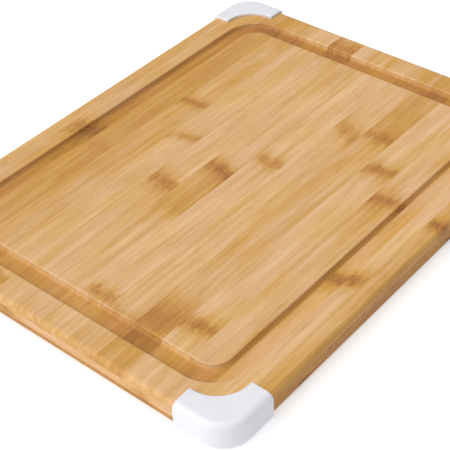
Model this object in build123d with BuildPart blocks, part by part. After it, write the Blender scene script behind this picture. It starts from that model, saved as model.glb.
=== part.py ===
"""A bamboo cutting board with a juice groove and four soft corner grips.

The board is three plies glued into one slab: strips along its length on top and underneath, and strips
across it in the middle. The slab is machined after gluing: its edges are rounded, the groove is routed,
and each corner is rebated to a thinner tongue that a moulded grip slides over. The grips stand proud of
the wood all round, so the board rests on them.

Units are millimetres. X runs along the board, Y across it, +Z is up. The origin is the middle of the
surface that the board stands on.
"""

import os

from build123d import *

# --- the slab -------------------------------------------------------------------------------------------
board_length = 360.0
board_width = 280.0
top_ply = 5.5
core_ply = 5.5
base_ply = 5.5
edge_round = 3.0  # along the top and bottom edges

# --- the strips -----------------------------------------------------------------------------------------
long_strips = 14  # in the top ply, and in the base ply
side_strip_width = 11.0  # the first and last of them, trimmed with the slab
cross_strips = 17  # in the core
end_strip_width = 18.0  # the first and last of them, trimmed with the slab

# --- the juice groove -----------------------------------------------------------------------------------
end_margin = 20.0  # from the slab's short ends to the groove
side_margin = 21.5  # from its long sides to the groove
groove_width = 13.0
groove_depth = 3.5
groove_corner = 26.0  # radius of the groove's outer edge
groove_lip = 1.0  # rounding of both its rims
groove_wall = 0.4  # upright part of its walls, between the rounded rim and the rounded foot

# --- the corner grips -----------------------------------------------------------------------------------
grip_leg = 37.5  # from the slab's corner along each side
grip_land = 6.5  # wood left between the groove and the grip's arms, at the short ends
grip_hollow = 22.0  # radius of the grip's concave side
grip_corner = 20.0  # radius of the grip's outer corner, from above
foot_height = 1.5  # the grip below the slab
grip_over_top = 2.2  # the grip above the slab
grip_over_side = 1.8  # the grip outside the slab
face_rebate = 0.8  # the slab's rebate under the grip, top and bottom
side_rebate = 1.2  # the slab's rebate round its edge
grip_top_round = 4.5
grip_foot_round = 4.4
slip_gap = 0.1  # between the grip and the rebate's curved walls

# --- worked out -----------------------------------------------------------------------------------------
slab_bottom = foot_height
base_top = slab_bottom + base_ply
core_top = base_top + core_ply
slab_top = core_top + top_ply
grip_top = slab_top + grip_over_top
half_length = board_length / 2
half_width = board_width / 2
tongue_bottom = slab_bottom + face_rebate
tongue_top = slab_top - face_rebate
tongue_corner = grip_corner - grip_over_side - side_rebate
groove_length = board_length - 2 * end_margin
groove_span = board_width - 2 * side_margin
groove_foot_round = groove_depth - groove_lip - groove_wall
hollow_centre = end_margin - grip_land + grip_hollow  # from the slab's corner, along X and along Y
clear = 5.0  # how far a cutter runs past what it cuts

os.makedirs("parts", exist_ok=True)


def write(part, name):
    part.label = name
    export_step(part, f"parts/{name}.step")


def grip_plan(gap):
    """What a grip covers of the front left corner, from above: a square, less a circle."""
    with BuildSketch() as plan:
        with Locations((-half_length + grip_leg, -half_width + grip_leg)):
            Rectangle(grip_leg + clear, grip_leg + clear, align=(Align.MAX, Align.MAX))
        with Locations((-half_length + hollow_centre, -half_width + hollow_centre)):
            Circle(grip_hollow + gap, mode=Mode.SUBTRACT)
    return plan.sketch


def tongue(gap):
    """The slab's middle thickness, set in from its edge: what the rebates leave of each corner."""
    with BuildPart() as plate:
        with BuildSketch(Plane.XY.offset(tongue_bottom)):
            inset = side_rebate - gap
            RectangleRounded(board_length - 2 * inset, board_width - 2 * inset, tongue_corner + gap)
        extrude(amount=tongue_top - tongue_bottom)
    return plate.part


# --- the rebates, made at one corner and mirrored to the rest ---------------------------------------------
with BuildPart() as rebates:
    with BuildSketch():
        add(grip_plan(0))
    extrude(amount=grip_top + clear)
    add(tongue(0), mode=Mode.SUBTRACT)
    mirror(about=Plane.YZ)
    mirror(about=Plane.XZ)

# --- the juice groove, as the solid that the router takes out ------------------------------------------------
with BuildPart() as groove:
    with BuildSketch(Plane.XY.offset(slab_top - groove_depth)):
        RectangleRounded(groove_length, groove_span, groove_corner)
        RectangleRounded(
            groove_length - 2 * groove_width,
            groove_span - 2 * groove_width,
            groove_corner - groove_width,
            mode=Mode.SUBTRACT,
        )
    extrude(amount=groove_depth + clear)
    fillet(groove.faces().sort_by(Axis.Z)[0].edges(), groove_foot_round)

# --- the slab, machined whole after gluing ----------------------------------------------------------------
with BuildPart() as slab:
    with BuildSketch(Plane.XY.offset(slab_bottom)):
        Rectangle(board_length, board_width)
    extrude(amount=slab_top - slab_bottom)
    flat_faces = slab.faces().filter_by(Axis.Z)
    fillet(flat_faces.edges(), edge_round)
    add(groove.part, mode=Mode.SUBTRACT)
    top_faces = slab.faces().filter_by(Axis.Z).filter_by_position(Axis.Z, slab_top, slab_top)
    panel = top_faces.sort_by(SortBy.AREA)[-1]
    border = top_faces.sort_by(SortBy.AREA)[0]
    fillet(panel.edges() + border.inner_wires().edges(), groove_lip)
    add(rebates.part, mode=Mode.SUBTRACT)


def cut_strip(name, low, high):
    """One strip: what the slab holds between two corners of a box."""
    size = [b - a for a, b in zip(low, high)]
    with BuildPart() as strip:
        add(slab.part)
        with Locations(low):
            Box(*size, align=(Align.MIN, Align.MIN, Align.MIN), mode=Mode.INTERSECT)
    write(strip.part, name)


def strip_edges(count, trimmed, half_span):
    """Where the strips of one ply meet, from one edge of the slab to the other."""
    whole = (2 * half_span - 2 * trimmed) / (count - 2)
    inner_edges = [-half_span + trimmed + n * whole for n in range(count - 1)]
    return [-half_span, *inner_edges, half_span]


# --- the long strips of the top and base plies -------------------------------------------------------------
lanes = strip_edges(long_strips, side_strip_width, half_width)
for n, (near, far) in enumerate(zip(lanes, lanes[1:]), start=1):
    cut_strip(f"top_strip_{n:02d}", (-half_length, near, core_top), (half_length, far, slab_top))
    cut_strip(f"base_strip_{n:02d}", (-half_length, near, slab_bottom), (half_length, far, base_top))

# --- the cross strips of the core --------------------------------------------------------------------------
columns = strip_edges(cross_strips, end_strip_width, half_length)
for n, (left, right) in enumerate(zip(columns, columns[1:]), start=1):
    cut_strip(f"core_strip_{n:02d}", (left, -half_width, base_top), (right, half_width, core_top))

# --- the grips ---------------------------------------------------------------------------------------------
with BuildPart() as grip:
    with BuildSketch():
        RectangleRounded(board_length + 2 * grip_over_side, board_width + 2 * grip_over_side, grip_corner)
    extrude(amount=grip_top)
    fillet(grip.faces().sort_by(Axis.Z)[-1].edges(), grip_top_round)
    fillet(grip.faces().sort_by(Axis.Z)[0].edges(), grip_foot_round)
    with BuildSketch():
        add(grip_plan(slip_gap))
    extrude(amount=grip_top, mode=Mode.INTERSECT)
    add(tongue(slip_gap), mode=Mode.SUBTRACT)


def mirrored(part, plane):
    """The same piece for the opposite corner."""
    with BuildPart() as copy:
        mirror(part, about=plane)
    return copy.part


front_right = mirrored(grip.part, Plane.YZ)
write(mirrored(grip.part, Plane.XZ), "corner_grip_back_left")
write(mirrored(front_right, Plane.XZ), "corner_grip_back_right")
write(front_right, "corner_grip_front_right")
write(grip.part, "corner_grip_front_left")
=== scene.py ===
"""The looks of the bamboo cutting board: its strips, its four soft corner grips, and the studio round it.

Everything is in metres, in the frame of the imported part: X along the board, Y across it, Z up, and the
worktop at Z = 0. Sizes below are written in millimetres and multiplied by MM.
"""
from math import cos, pi, radians, sin

import bpy
import numpy as np
from mathutils import Matrix, Vector


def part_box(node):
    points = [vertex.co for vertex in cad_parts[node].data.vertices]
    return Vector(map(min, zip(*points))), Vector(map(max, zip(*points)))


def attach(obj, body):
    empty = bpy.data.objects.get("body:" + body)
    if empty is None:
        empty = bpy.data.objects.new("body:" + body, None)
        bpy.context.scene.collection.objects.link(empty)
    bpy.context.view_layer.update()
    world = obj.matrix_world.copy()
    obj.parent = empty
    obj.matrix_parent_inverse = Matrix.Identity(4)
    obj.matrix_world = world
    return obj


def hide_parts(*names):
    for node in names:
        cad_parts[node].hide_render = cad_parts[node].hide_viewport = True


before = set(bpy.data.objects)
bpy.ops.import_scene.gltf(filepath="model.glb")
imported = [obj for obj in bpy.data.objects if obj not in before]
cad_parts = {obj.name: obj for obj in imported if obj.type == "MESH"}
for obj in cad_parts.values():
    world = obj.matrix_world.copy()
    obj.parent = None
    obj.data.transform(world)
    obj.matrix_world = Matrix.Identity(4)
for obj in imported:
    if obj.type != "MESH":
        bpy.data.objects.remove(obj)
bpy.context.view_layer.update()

MM = 0.001

slab_low, slab_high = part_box("base_strip_07")[0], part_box("top_strip_07")[1]
HALF_LENGTH = slab_high[0]
HALF_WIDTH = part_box("top_strip_14")[1][1]
SLAB_TOP = slab_high[2]
SLAB_BOTTOM = slab_low[2]


# --- shaders -----------------------------------------------------------------------------------------------
def srgb(red, green, blue):
    """A screen colour, each channel from 0 to 255, as linear light."""
    scaled = np.array([red, green, blue]) / 255
    linear = np.where(scaled <= 0.04045, scaled / 12.92, ((scaled + 0.055) / 1.055) ** 2.4)
    return (*linear.tolist(), 1.0)


class Finish:
    """A material being built. Each method adds one node, or a few, and gives back its output."""

    def __init__(self, name):
        self.material = bpy.data.materials.new(name)
        self.material.use_nodes = True
        self.tree = self.material.node_tree
        self.surface = self.tree.nodes["Principled BSDF"]

    def feed(self, socket, value):
        """Links an output to a socket, or sets the socket to a plain number or colour."""
        if isinstance(value, bpy.types.NodeSocket):
            self.tree.links.new(value, socket)
        else:
            socket.default_value = value

    def add(self, kind, inputs, output=0, **settings):
        node = self.tree.nodes.new(kind)
        for key, value in settings.items():
            setattr(node, key, value)
        for key, value in inputs.items():
            self.feed(node.inputs[key], value)
        return node.outputs[output]

    def math(self, operation, first, second=0.0, third=0.0):
        return self.add("ShaderNodeMath", {0: first, 1: second, 2: third}, operation=operation)

    def total(self, *values):
        result = values[0]
        for value in values[1:]:
            result = self.math("ADD", result, value)
        return result

    def steps(self, value, low, high, at_low=0.0, at_high=1.0):
        """Smoothly from at_low, where value is low or less, to at_high, where it is high or more."""
        return self.add(
            "ShaderNodeMapRange",
            {"Value": value, "From Min": low, "From Max": high, "To Min": at_low, "To Max": at_high},
            interpolation_type="SMOOTHSTEP",
        )

    def noise(self, place, size, detail=2.0):
        """Noise whose grains measure size, a length along each axis. It varies about 0, mostly within 0.5."""
        cell = self.add("ShaderNodeVectorMath", {0: place, 1: size}, operation="DIVIDE")
        level = self.add("ShaderNodeTexNoise", {"Vector": cell, "Scale": 1.0, "Detail": detail})
        return self.math("SUBTRACT", level, 0.5)

    def place_in_mm(self):
        """Where a point is on the board, in millimetres."""
        place = self.add("ShaderNodeTexCoord", {}, output="Object")
        return self.add("ShaderNodeVectorMath", {0: place, "Scale": 1 / MM}, operation="SCALE")

    def split(self, vector):
        node = self.tree.nodes.new("ShaderNodeSeparateXYZ")
        self.feed(node.inputs[0], vector)
        return node.outputs

    def join(self, x, y, z):
        return self.add("ShaderNodeCombineXYZ", {0: x, 1: y, 2: z})

    def ramp(self, value, stops):
        """A colour from a list of (position, colour) stops."""
        node = self.tree.nodes.new("ShaderNodeValToRGB")
        elements = node.color_ramp.elements
        while len(elements) < len(stops):
            elements.new(1.0)
        for element, (position, colour) in zip(elements, stops):
            element.position = position
            element.color = colour
        self.feed(node.inputs[0], value)
        return node.outputs["Color"]

    def mix(self, share, first, second):
        """The first colour where share is 0, and the second where it is 1."""
        return self.add("ShaderNodeMix", {0: share, 6: first, 7: second}, output=2, data_type="RGBA")

    def bump(self, height, depth):
        """Relief of the given depth, in metres, where height goes from 0 to 1."""
        normal = self.add("ShaderNodeBump", {"Height": height, "Distance": depth, "Strength": 1.0})
        self.feed(self.surface.inputs["Normal"], normal)


# --- bamboo ------------------------------------------------------------------------------------------------
# From pale bamboo to the brown of its joints. The colour drifts between these golden tones and rosier ones.
GOLDEN_TONES = [
    (0.00, srgb(236, 198, 149)),
    (0.22, srgb(219, 175, 118)),
    (0.41, srgb(203, 153, 76)),
    (0.60, srgb(185, 134, 59)),
    (0.80, srgb(165, 116, 51)),
    (1.00, srgb(144, 97, 42)),
]
ROSY_TONES = [
    (0.00, srgb(236, 199, 160)),
    (0.22, srgb(219, 176, 131)),
    (0.41, srgb(203, 154, 91)),
    (0.60, srgb(189, 133, 72)),
    (0.80, srgb(171, 115, 61)),
    (1.00, srgb(151, 96, 49)),
]
MIDDLING = 0.27  # the tone of an ordinary strip

# How far each kind of mark reaches along the grain, across it and down into the wood, in millimetres.
FINE_STREAK = (26.0, 0.45, 0.6)
BROAD_STREAK = (80.0, 3.2, 3.2)
BLOTCH = (48.0, 10.0, 9.0)
FIBRE_BUNDLE = (17.0, 0.95, 0.95)
BUNDLE_THICKET = (60.0, 4.0, 4.0)
JOINT_PATCH = (5.0, 3.0, 3.0)
JOINT_SPOT = (1.8, 1.3, 2.0)
ROSY_DRIFT = (65.0, 17.0, 17.0)
GRAIN_WANDER = (70.0, 1.0, 1.0)
WANDER_REACH = 2.0  # how far the grain wanders sideways
SHADE_END = 9  # half the length over which a darker stretch fades in or out


class Bamboo(Finish):
    """Bamboo, solid all through, so its grain runs over the edges and shows as dots on the end grain.

    along is the grain's axis, "X" or "Y". tone is how much darker than ordinary the strip is. edges are its
    two glued edges, in millimetres, and shift moves the pattern so that no two strips match.
    """

    def __init__(self, name, along, tone, edges, shift):
        """Finds where a point lies in the grain, and how far the joints are ragged and weakened there."""
        super().__init__(name)
        spot = self.split(self.place_in_mm())
        self.lengthwise, self.crosswise = (spot["X"], spot["Y"]) if along == "X" else (spot["Y"], spot["X"])
        self.depth = self.math("SUBTRACT", SLAB_TOP / MM, spot["Z"])
        self.normal = self.split(self.add("ShaderNodeTexCoord", {}, output="Normal"))
        self.along, self.edges = along, edges
        moved = self.math("ADD", self.lengthwise, shift)
        moved_across = self.math("ADD", self.crosswise, shift * 0.37)
        wander = self.noise(self.join(moved, shift, 0.0), GRAIN_WANDER, 1.0)
        across = self.math("MULTIPLY_ADD", wander, WANDER_REACH, moved_across)
        self.grain = self.join(moved, across, spot["Z"])
        self.ragged = self.total(
            self.math("MULTIPLY", self.noise(self.join(shift, across, 0.0), (1.0, 6.0, 1.0), 2.0), 9.0),
            self.math("MULTIPLY", self.noise(self.join(shift, across, 9.0), (1.0, 0.9, 1.0), 1.0), 2.5),
        )
        weakening = self.noise(self.join(shift, across, 5.0), (1.0, 7.0, 1.0), 1.0)
        self.uneven = self.steps(weakening, -0.22, 0.12, 0.4)
        self.level = MIDDLING + tone
        self.browned = 0.0

    def darken(self, mask, strength):
        self.level = self.math("MULTIPLY_ADD", mask, strength, self.level)

    def streaks(self):
        """Fine streaks, broad ones and blotches, drawn out along the grain, and thin dark fibre bundles."""
        self.fine = self.noise(self.grain, FINE_STREAK, 2.0)
        self.darken(self.fine, 0.19)
        self.darken(self.noise(self.grain, BROAD_STREAK, 3.0), 0.41)
        self.darken(self.noise(self.grain, BLOTCH, 2.0), 0.35)
        cell = self.add("ShaderNodeVectorMath", {0: self.grain, 1: FIBRE_BUNDLE}, operation="DIVIDE")
        nearest = self.add("ShaderNodeTexVoronoi", {"Vector": cell, "Scale": 1.0}, output="Distance")
        thicket = self.steps(self.noise(self.grain, BUNDLE_THICKET, 1.0), -0.12, 0.2, 0.03, 0.17)
        self.bundles = self.math("MULTIPLY", self.steps(nearest, 0.34, 0.12), thicket)
        self.darken(self.bundles, 1.0)

    def joints(self, places):
        """The joints of the cane: brown bands across the strip, in a soft halo, ragged, patchy and spotted.

        Each is (middle along the grain, half its length, strength, how far it leans), in millimetres.
        """
        patchy = self.noise(self.grain, JOINT_PATCH, 3.0)
        spotted = self.steps(self.noise(self.grain, JOINT_SPOT, 2.0), -0.1, 0.2)
        off_middle = self.math("SUBTRACT", self.crosswise, sum(self.edges) / 2)
        for middle, half, strength, lean in places:
            bent = self.math("ADD", self.lengthwise, self.math("MULTIPLY_ADD", off_middle, lean, self.ragged))
            off = self.math("DIVIDE", self.math("SUBTRACT", bent, middle), half)
            distance = self.math("ABSOLUTE", self.math("MULTIPLY_ADD", patchy, 2.4, off))
            core = self.math("MULTIPLY", self.steps(distance, 1.4, 0.0), self.uneven)
            self.browned = self.math("MULTIPLY_ADD", core, 0.5, self.browned)
            self.darken(self.steps(distance, 3.0, 0.6), 0.34 * strength)
            self.darken(core, 0.75 * strength)
            self.darken(self.math("MULTIPLY", core, spotted), 0.60 * strength)

    def shades(self, places):
        """Stretches of a darker tone with soft, slanting ends. Each is (from, to, strength)."""
        soft = self.math("MULTIPLY_ADD", self.ragged, 3.5, self.lengthwise)
        for start, end, strength in places:
            after_start = self.steps(soft, start - SHADE_END, start + SHADE_END)
            before_end = self.steps(soft, end + SHADE_END, end - SHADE_END)
            self.darken(self.math("MULTIPLY", after_start, before_end), strength)

    def glue_lines(self):
        """A faint dark line down each glued edge."""
        for edge in self.edges:
            gap = self.math("ABSOLUTE", self.math("SUBTRACT", self.crosswise, edge))
            self.darken(self.steps(gap, 0.35, 0.1), 0.07)

    def outermost(self, axis):
        """1 within 6 mm of the board's edges at both ends of an axis, and 0 from 8 mm in."""
        place = self.lengthwise if axis == self.along else self.crosswise
        reach = (HALF_LENGTH if axis == "X" else HALF_WIDTH) / MM
        return self.steps(self.math("ABSOLUTE", place), reach - 8, reach - 6)

    def cut_faces(self, end_grain_and_painted_shade, side_grain_and_painted_shade, in_groove):
        """The outer faces are darker than the top: partly the cut wood's own tone, partly painted shade that
        also reaches over the rounded edges to dim the light on them. The groove's foot is darker too: partly
        the routed wood's tone, partly painted shade in the recess. Its walls across the grain are painted
        paler, which is painted light.

        The groove's foot darkens further towards the right-hand end, which is painted shade.
        """
        across = "Y" if self.along == "X" else "X"
        for axis, strength in ((self.along, end_grain_and_painted_shade), (across, side_grain_and_painted_shade)):
            # Darker outer faces: partly the grain's own tone, partly painted shade, which this mask carries
            # over the rounded edges to dim their light.
            facing = self.steps(self.math("ABSOLUTE", self.normal[axis]), 0.05, 0.6)
            self.darken(self.math("MULTIPLY", facing, self.outermost(axis)), strength)
        if in_groove:
            near_an_edge = self.math("MAXIMUM", self.outermost("X"), self.outermost("Y"))
            inland = self.math("SUBTRACT", 1.0, near_an_edge)
            # Painted light: the groove's walls across the grain are made paler, as where the lamp falls on
            # them.
            cut_end = self.steps(self.math("ABSOLUTE", self.normal[self.along]), 0.2, 0.7)
            self.darken(self.math("MULTIPLY", cut_end, inland), -0.07)
            # The groove's darker foot: partly the routed wood's tone, partly painted shade in the recess,
            # with more painted shade towards the right-hand end.
            sunk = self.math("MULTIPLY", self.steps(self.depth, 0.3, 2.0), inland)
            level_share = self.steps(self.math("ABSOLUTE", self.normal["Z"]), 0.1, 0.95)
            groove_tone_and_painted_shade = self.steps(self.lengthwise, 120, 150, in_groove, in_groove + 0.12)
            self.darken(self.math("MULTIPLY", sunk, level_share), groove_tone_and_painted_shade)

    def finish(self):
        """Turns the summed tone into a colour, golden or rosy, with a satin sheen and a faint relief."""
        drift = self.steps(self.noise(self.grain, ROSY_DRIFT, 2.0), -0.2, 0.2)
        rosy = self.math("ADD", drift, self.browned)
        colour = self.mix(rosy, self.ramp(self.level, GOLDEN_TONES), self.ramp(self.level, ROSY_TONES))
        self.feed(self.surface.inputs["Base Color"], colour)
        self.feed(self.surface.inputs["Roughness"], self.math("MULTIPLY_ADD", self.fine, 0.25, 0.6))
        self.surface.inputs["Specular IOR Level"].default_value = 0.3
        self.bump(self.math("MULTIPLY_ADD", self.bundles, -4.0, self.fine), 0.05 * MM)
        return self.material


def bamboo(name, along, tone, joints, shades, edges, shift, end_grain_and_painted_shade, side_grain_and_painted_shade, in_groove=0.0):
    """The finish of one strip. The last three: how much darker its cut ends, its sides and the groove are."""
    wood = Bamboo(name, along, tone, edges, shift)
    wood.streaks()
    wood.joints(joints)
    wood.shades(shades)
    wood.glue_lines()
    wood.cut_faces(end_grain_and_painted_shade, side_grain_and_painted_shade, in_groove)
    return wood.finish()


# --- the strips --------------------------------------------------------------------------------------------
# The top ply, from the front edge to the back: (tone, joints, shades), as Bamboo takes them.
TOP_STRIPS = [
    (0.06, [(31, 5, 0.40, 0.0)], []),
    (-0.06, [(-42, 6, 0.46, 0.3)], []),
    (0.00, [(32, 6, 0.38, 0.2)], [(-18, 26, 0.08)]),
    (-0.04, [(-126, 5, 0.38, 0.2), (56, 6, 0.38, 0.2)], []),
    (0.05, [(86, 6, 0.30, 0.0), (-136, 13, 0.22, 0.1)], [(-200, -116, 0.12), (88, 200, 0.11)]),
    (-0.01, [(-145, 4, 0.16, 0.0), (80, 7, 0.22, -0.5)], [(-200, -162, 0.07), (160, 200, 0.08)]),
    (-0.06, [(-141, 5, 0.32, 0.0), (20, 6, 0.28, 0.0)], [(-200, -162, 0.08), (160, 200, 0.10)]),
    (-0.02, [(-6, 6, 0.40, -0.3)], [(-200, -162, 0.06), (-62, -4, 0.16)]),
    (-0.02, [(-38, 7, 0.32, -0.2), (165, 9, 0.36, 0.0)], [(-70, -36, 0.05)]),
    (-0.01, [(8, 4, 0.24, 0.3), (-168, 4, 0.24, 0.0)], []),
    (0.08, [(43, 4, 0.32, 0.1)], []),
    (0.16, [(-35, 5, 0.10, 0.0), (157, 5, 0.12, 0.0)], [(-125, 140, 0.04)]),
    (0.05, [(-25, 9, 0.34, 0.4)], []),
    (0.03, [], []),
]


def dress(node, material):
    """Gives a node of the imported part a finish."""
    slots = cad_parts[node].data.materials
    slots.clear()
    slots.append(material)


def glued_edges(node, axis):
    low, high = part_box(node)
    return [low[axis] / MM, high[axis] / MM]


def plain_strips(stem, count, along, reach, tone, end_grain_and_painted_shade, draw):
    """The strips of a ply that hardly shows: each has one or two joints and a tone of its own, near tone.

    The joints lie within reach of the middle of the strip, in millimetres.
    """
    for number in range(1, count + 1):
        node = f"{stem}_{number:02d}"
        first = draw.uniform(-reach, reach)
        joints = [(first, draw.uniform(4, 8), draw.uniform(0.2, 0.4), draw.uniform(-0.4, 0.4))]
        if abs(first) > 0.4 * reach:
            joints.append((first - np.sign(first) * reach, draw.uniform(4, 8), draw.uniform(0.2, 0.4), 0.0))
        edges = glued_edges(node, 1 if along == "X" else 0)
        shift = draw.uniform(200, 900)
        own_tone = tone + draw.uniform(-0.06, 0.08)
        dress(node, bamboo(f"bamboo_{node}", along, own_tone, joints, [], edges, shift, end_grain_and_painted_shade, 0.08))


PATTERN_STEP = 431.0  # how far the pattern moves from one top strip to the next, in millimetres
FRONT_STRIPS = 2  # the front strips of the top, where the groove's darker tone and painted shade are lighter

for number, (tone, joints, shades) in enumerate(TOP_STRIPS, start=1):
    node = f"top_strip_{number:02d}"
    wood = bamboo(
        f"bamboo_{node}",
        "X",
        tone,
        joints,
        shades,
        glued_edges(node, 1),
        shift=PATTERN_STEP * number,
        end_grain_and_painted_shade=0.06,
        side_grain_and_painted_shade=0.12,
        in_groove=0.12 if number <= FRONT_STRIPS else 0.28,
    )
    dress(node, wood)
draw = np.random.default_rng(11)
# The base ply's darker tone than the top is painted shade along the bottom of the board, near the worktop.
plain_strips("base_strip", 14, "X", reach=150, tone=0.28, end_grain_and_painted_shade=0.10, draw=draw)
# The core's much darker end grain is partly its own tone and partly painted shade on the front and back
# faces.
plain_strips("core_strip", 17, "Y", reach=110, tone=-0.12, end_grain_and_painted_shade=0.48, draw=draw)


# --- the corner grips --------------------------------------------------------------------------------------
GRIP_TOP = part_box("corner_grip_front_left")[1][2]
GRIP_LEG = 37.5 * MM  # from the slab's corner along each side
GRIP_OVER_SIDE = 1.8 * MM
GRIP_CORNER = 20.0 * MM  # radius of the outer corner
GRIP_TOP_ROUND = 4.5 * MM
GRIP_FOOT_ROUND = 4.4 * MM
GRIP_RIM = 0.7 * MM  # rounding of the rims that meet the wood
HOLLOW_CENTRE = 35.5 * MM  # centre of the concave side, from the slab's corner along X and along Y
HOLLOW_RADIUS = 22.1 * MM
TONGUE_INSET = 3.1 * MM  # the tongue of wood, from the grip's outer face
TONGUE_LOW = SLAB_BOTTOM + 0.8 * MM
TONGUE_HIGH = SLAB_TOP - 0.8 * MM
STATIONS = 96  # along a grip, from end to end
RIM_STEPS = 4  # more of them, round the rim at each end


def outer_path(count, leg):
    """Points and inward normals along the grip's outer face: a leg, a quarter circle and the other leg.

    Both are measured from the slab's corner, inwards along X and inwards along Y. A point is the circle's
    centre minus its radius times the normal, plus what is left of the first leg along X, or what has been
    covered of the second along Y.
    """
    centre = GRIP_CORNER - GRIP_OVER_SIDE
    straight, turn = leg - centre, GRIP_CORNER * pi / 2
    travel = np.linspace(0, 2 * straight + turn, count)
    angle = np.clip((travel - straight) / turn, 0, 1) * pi / 2
    normal = np.stack([np.sin(angle), np.cos(angle)], 1)
    before = np.clip(straight - travel, 0, None)
    after = np.clip(travel - straight - turn, 0, None)
    points = centre - GRIP_CORNER * normal + np.stack([before, after], 1)
    return points, normal


def inner_path(count, leg):
    """Points along the grip's concave side, and the directions from them to the middle of its circle.

    A point is the circle's centre minus its radius times that direction, which turns from one end of the
    grip, round past the slab's corner, to the other.
    """
    tip = np.arccos((leg - HOLLOW_CENTRE) / HOLLOW_RADIUS)
    angle = np.linspace(-tip, tip - 1.5 * pi, count)
    inward = -np.stack([np.cos(angle), np.sin(angle)], 1)
    return HOLLOW_CENTRE - HOLLOW_RADIUS * inward, inward


def grip_profile():
    """The C-shaped section: from the upper rim over the top, down the outer face, underneath, to the tongue.

    Each point has six values. share places it between the concave side, at 0, and the outer face, at 1. back
    and inset are its distances from those two, and height is above the worktop. Where an end of the grip is
    rounded over by some pull, the point draws in by follow times the pull, and rises by climb times the pull.
    """
    arc = np.linspace(0, pi / 2, 13)
    rim = arc[::3]
    foot = arc[::2]
    spread = np.array([0.25, 0.5, 0.75])
    wall = (GRIP_TOP - GRIP_TOP_ROUND) * (1 - spread) + GRIP_FOOT_ROUND * spread
    over_tongue = np.array([TONGUE_LOW, TONGUE_LOW, TONGUE_HIGH, TONGUE_HIGH])
    stretches = [  # (share, back, inset, height, follow, climb)
        (0, GRIP_RIM * (1 - np.cos(rim)), 0, GRIP_TOP - GRIP_RIM * (1 - np.sin(rim)), 1, -1),
        (spread, 0, GRIP_TOP_ROUND, GRIP_TOP, 1, -1),
        (1, 0, GRIP_TOP_ROUND * (1 - np.sin(arc)), GRIP_TOP - GRIP_TOP_ROUND * (1 - np.cos(arc)), 1, -1),
        (1, 0, 0, wall, 1, 2 * spread - 1),
        (1, 0, GRIP_FOOT_ROUND * (1 - np.cos(foot)), GRIP_FOOT_ROUND * (1 - np.sin(foot)), 1, 1),
        (1 - spread, 0, GRIP_FOOT_ROUND, 0, 1, 1),
        (0, GRIP_RIM * (1 - np.sin(rim)), 0, GRIP_RIM * (1 - np.cos(rim)), 1, 1),
        (np.array([0, 1, 1, 0]), 0, TONGUE_INSET, over_tongue, 0, 0),
    ]
    return np.concatenate([np.stack(np.broadcast_arrays(*stretch), 1) for stretch in stretches]).T


def corner_grip(name, x_side, y_side):
    """A grip: its profile carried from one end, round the corner, to the other, with both ends rounded over.

    A point is (1 - share) times a place back from the concave side, plus share times a place in from the
    outer face. At each end, quarter-circle steps push the profile out by rim * sin and pull it in by
    rim * (1 - cos).
    """
    leg = GRIP_LEG - GRIP_RIM
    turn = np.linspace(0, pi / 2, RIM_STEPS + 1)[1:]
    turns = np.concatenate([turn[::-1], np.zeros(STATIONS), turn])
    stations = np.clip(np.arange(STATIONS + 2 * RIM_STEPS) - RIM_STEPS, 0, STATIONS - 1)
    paths = (*outer_path(STATIONS, leg), *inner_path(STATIONS, leg))
    outer, normal, inner, inward = (path[stations, None] for path in paths)
    pull = GRIP_RIM * (1 - np.cos(turns))[:, None]
    push = np.zeros((STATIONS + 2 * RIM_STEPS, 1, 2))
    push[:RIM_STEPS, 0, 0] = GRIP_RIM * np.sin(turns[:RIM_STEPS])
    push[-RIM_STEPS:, 0, 1] = GRIP_RIM * np.sin(turns[-RIM_STEPS:])

    share, back, inset, height, follow, climb = grip_profile()
    from_hollow = inner - inward * (follow * pull + back)[..., None]
    from_face = outer + normal * (follow * pull + inset)[..., None]
    plan = from_hollow + (from_face - from_hollow) * share[:, None] + push
    rise = height + climb * pull
    lengthwise = x_side * (HALF_LENGTH - plan[..., 0])
    crosswise = y_side * (HALF_WIDTH - plan[..., 1])
    points = np.stack([lengthwise, crosswise, rise], -1)

    rows, columns = rise.shape
    grid = np.arange(rows * columns).reshape(rows, columns)
    beside = np.roll(grid, -1, axis=1)
    faces = np.stack([grid[:-1], beside[:-1], beside[1:], grid[1:]], -1).reshape(-1, 4)
    ends = np.stack([grid[0][::-1], grid[-1]])
    order = -1 if x_side * y_side > 0 else 1  # so that the faces point outwards on all four grips
    outlines = [*faces[:, ::order].tolist(), *ends[:, ::order].tolist()]
    mesh = bpy.data.meshes.new(name)
    mesh.from_pydata(points.reshape(-1, 3).tolist(), [], outlines)
    mesh.shade_smooth()
    mesh.set_sharp_from_angle(angle=radians(40))
    piece = bpy.data.objects.new(name, mesh)
    bpy.context.collection.objects.link(piece)
    return piece


def soft_plastic():
    """White moulded soft plastic: satin, with a fine spark-eroded texture and a faint mottling."""
    plastic = Finish("white_soft_plastic")
    place = plastic.place_in_mm()
    mottle = plastic.noise(place, (9.0, 9.0, 9.0), 2.0)
    level = plastic.math("MULTIPLY_ADD", mottle, 0.6, 0.5)
    colour = plastic.ramp(level, [(0.0, srgb(222, 222, 227)), (1.0, srgb(234, 234, 239))])
    plastic.feed(plastic.surface.inputs["Base Color"], colour)
    grit = plastic.noise(place, (0.35, 0.35, 0.35), 2.0)
    plastic.feed(plastic.surface.inputs["Roughness"], plastic.math("MULTIPLY_ADD", grit, 0.3, 0.45))
    plastic.surface.inputs["Specular IOR Level"].default_value = 0.4
    plastic.bump(grit, 0.02 * MM)
    return plastic.material


grip_finish = soft_plastic()
for side, x_side in (("left", -1), ("right", 1)):
    for end, y_side in (("front", -1), ("back", 1)):
        grip = corner_grip(f"soft_grip_{end}_{side}", x_side, y_side)
        grip.data.materials.append(grip_finish)
        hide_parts(f"corner_grip_{end}_{side}")
        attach(grip, "root")


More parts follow.
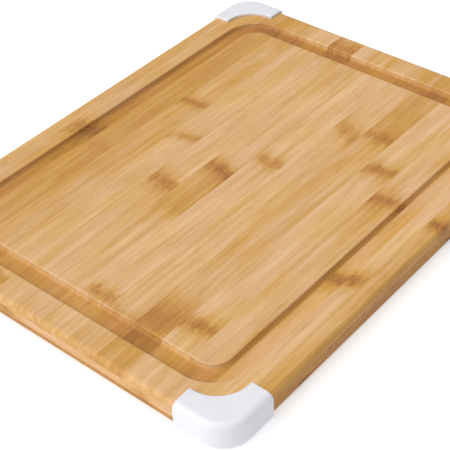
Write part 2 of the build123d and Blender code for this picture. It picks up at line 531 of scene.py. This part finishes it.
# --- the studio --------------------------------------------------------------------------------------------
def aim(thing, place, target, roll=0.0):
    """Puts a lamp or the camera at a place and points it at a target, turned about its own line of sight."""
    direction = (Vector(target) - Vector(place)).to_track_quat("-Z", "Y").to_matrix().to_4x4()
    thing.matrix_world = Matrix.Translation(place) @ direction @ Matrix.Rotation(roll, 4, "Z")


def polar(target, distance, azimuth, elevation):
    """A place at a distance from a target. Azimuth 0 looks at it along +Y, and 90 along -X."""
    level = distance * cos(elevation)
    return Vector(target) + Vector((level * sin(azimuth), -level * cos(azimuth), distance * sin(elevation)))


def far_light(name, azimuth, elevation, spread, brightness):
    """A lamp so far off that it lights the whole worktop alike. A white surface facing it looks this bright.

    Azimuth, elevation and spread, the width of the lamp as seen from the board, are in degrees.
    """
    light = bpy.data.lights.new(name, "SUN")
    light.angle = radians(spread)
    light.energy = brightness * pi
    lamp = bpy.data.objects.new(name, light)
    bpy.context.collection.objects.link(lamp)
    middle = (0.0, 0.0, 0.0)
    aim(lamp, polar(middle, 2.0, radians(azimuth), radians(elevation)), middle)


def worktop():
    """A flat pale floor, far larger than the board. It glows, as a light table does, to soften shadows."""
    reach = 4.0
    corners = [(-reach, -reach, 0), (reach, -reach, 0), (reach, reach, 0), (-reach, reach, 0)]
    mesh = bpy.data.meshes.new("worktop")
    mesh.from_pydata(corners, [], [(0, 1, 2, 3)])
    floor = bpy.data.objects.new("worktop", mesh)
    bpy.context.collection.objects.link(floor)
    paint = Finish("pale_worktop")
    paint.surface.inputs["Base Color"].default_value = (0.62, 0.62, 0.62, 1)
    paint.surface.inputs["Emission Color"].default_value = (0.96, 0.98, 1, 1)
    paint.surface.inputs["Emission Strength"].default_value = 0.50
    paint.surface.inputs["Roughness"].default_value = 0.9
    mesh.materials.append(paint.material)


worktop()
far_light("key_light", azimuth=-118, elevation=36, spread=60, brightness=0.50)
far_light("overhead_light", azimuth=-100, elevation=80, spread=80, brightness=0.54)

world = bpy.data.worlds.new("studio")
world.use_nodes = True
sky = world.node_tree.nodes["Background"]
sky.inputs["Color"].default_value = (1, 1, 1, 1)
sky.inputs["Strength"].default_value = 0.23
bpy.context.scene.world = world
bpy.context.scene.view_settings.view_transform = "Standard"

CAMERA_TARGET = (-48.2 * MM, -28.9 * MM, SLAB_TOP)
CAMERA_DISTANCE = 763.8 * MM
CAMERA_AZIMUTH = radians(-48.33)
CAMERA_ELEVATION = radians(40.09)
CAMERA_ROLL = radians(-2.96)

camera_data = bpy.data.cameras.new("camera")
camera_data.sensor_width = 36.0
camera_data.lens = 97.1
camera_data.clip_start = 0.01
camera = bpy.data.objects.new("camera", camera_data)
bpy.context.collection.objects.link(camera)
bpy.context.scene.camera = camera
viewpoint = polar(CAMERA_TARGET, CAMERA_DISTANCE, CAMERA_AZIMUTH, CAMERA_ELEVATION)
aim(camera, viewpoint, CAMERA_TARGET, CAMERA_ROLL)
